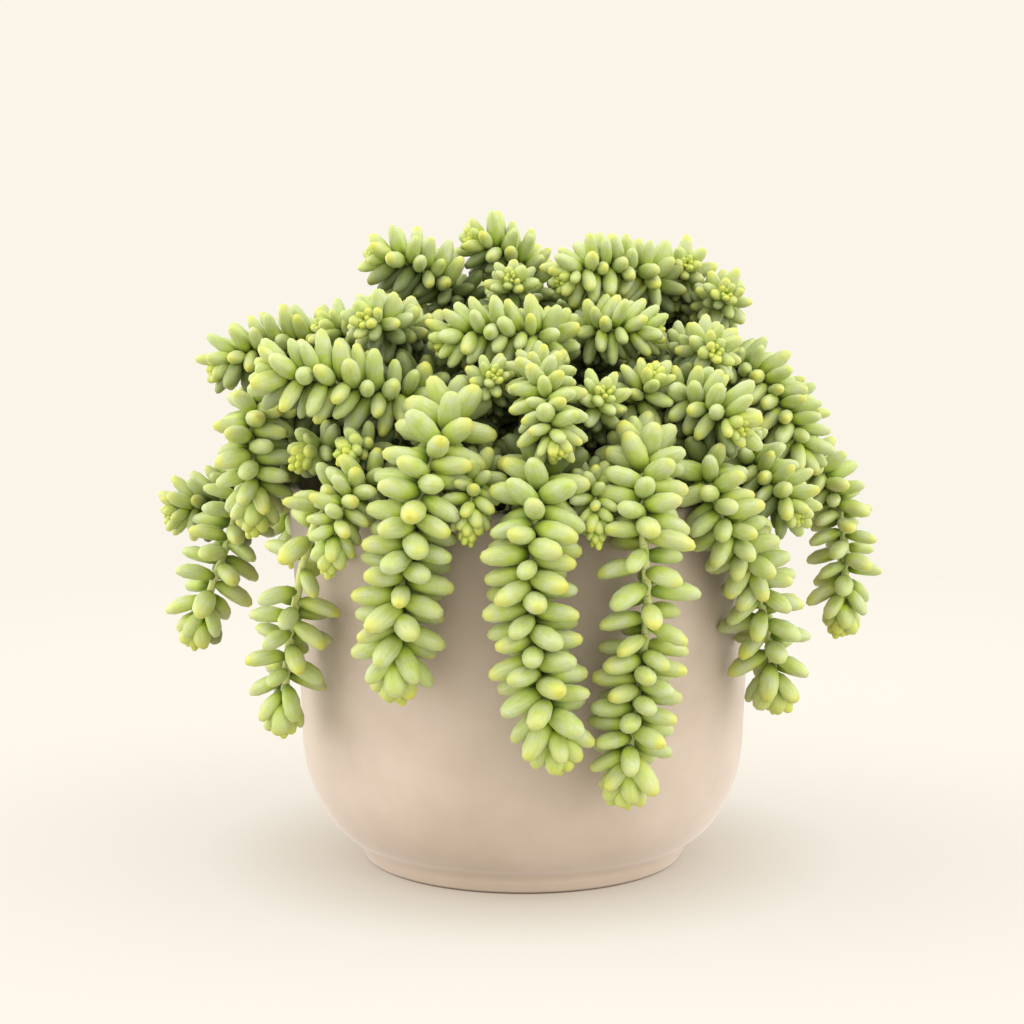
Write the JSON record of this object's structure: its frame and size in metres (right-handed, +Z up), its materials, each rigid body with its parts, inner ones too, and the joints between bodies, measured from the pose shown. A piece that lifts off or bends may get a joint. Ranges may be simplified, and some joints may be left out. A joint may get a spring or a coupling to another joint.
{
  "type": "potted burro's tail plant",
  "caption": "Potted burro's tail succulent: a round flared clay pot with a narrow foot, filled with soil, and trailing stems thick with plump bean-shaped leaves that spill over the rim.",
  "frame": {"origin": "centre of the pot's flat underside", "axes": "+Z up out of the pot, -Y towards the front, where the longest stems hang, +X to the right as seen from the front"},
  "size_m": [0.2429, 0.215, 0.2161],
  "materials": {
    "clay": "matte",
    "soil": "matte",
    "leaf": "satin"
  },
  "bodies": {
    "root": {"pot": "clay", "soil": "soil", "stem_hanging_left": "leaf", "stem_hanging_far_left": "leaf", "stem_hanging_side_left": "leaf", "stem_hanging_short_left": "leaf", "stem_hanging_front_left": "leaf", "stem_hanging_front": "leaf", "stem_hanging_front_right": "leaf", "stem_hanging_right": "leaf", "stem_hanging_far_right": "leaf", "stem_low_front_left": "leaf", "stem_low_left": "leaf", "stem_low_front": "leaf", "stem_low_front_right": "leaf", "stem_arm_front_left": "leaf", "stem_arm_back_left": "leaf", "stem_arm_low_left": "leaf", "stem_arm_front": "leaf", "stem_arm_right": "leaf", "stem_arm_low_right": "leaf", "stem_arm_far_right": "leaf", "stem_arm_middle_left": "leaf", "stem_arm_side_left": "leaf", "stem_rosette_front_left": "leaf", "stem_rosette_front_right": "leaf", "stem_rosette_left": "leaf", "stem_rosette_right": "leaf", "stem_rosette_far_right": "leaf", "stem_rosette_back_left": "leaf", "stem_upright_right": "leaf", "stem_middle": "leaf", "stem_middle_right": "leaf", "stem_top_left": "leaf", "stem_top_middle": "leaf", "stem_top_small": "leaf", "stem_top_right": "leaf", "stem_top_far_right": "leaf", "stem_hanging_back_right": "leaf", "stem_hanging_back_middle_right": "leaf", "stem_hanging_back": "leaf", "stem_hanging_back_middle_left": "leaf", "stem_hanging_back_left": "leaf", "stem_arm_back_right": "leaf", "stem_arm_back": "leaf", "stem_arm_back_middle_left": "leaf", "stem_arm_back_far_left": "leaf", "stem_arm_side_right": "leaf", "stem_top_centre": "leaf", "stem_top_back": "leaf", "stem_top_back_right": "leaf", "stem_top_back_left": "leaf"}
  },
  "joints": []
}
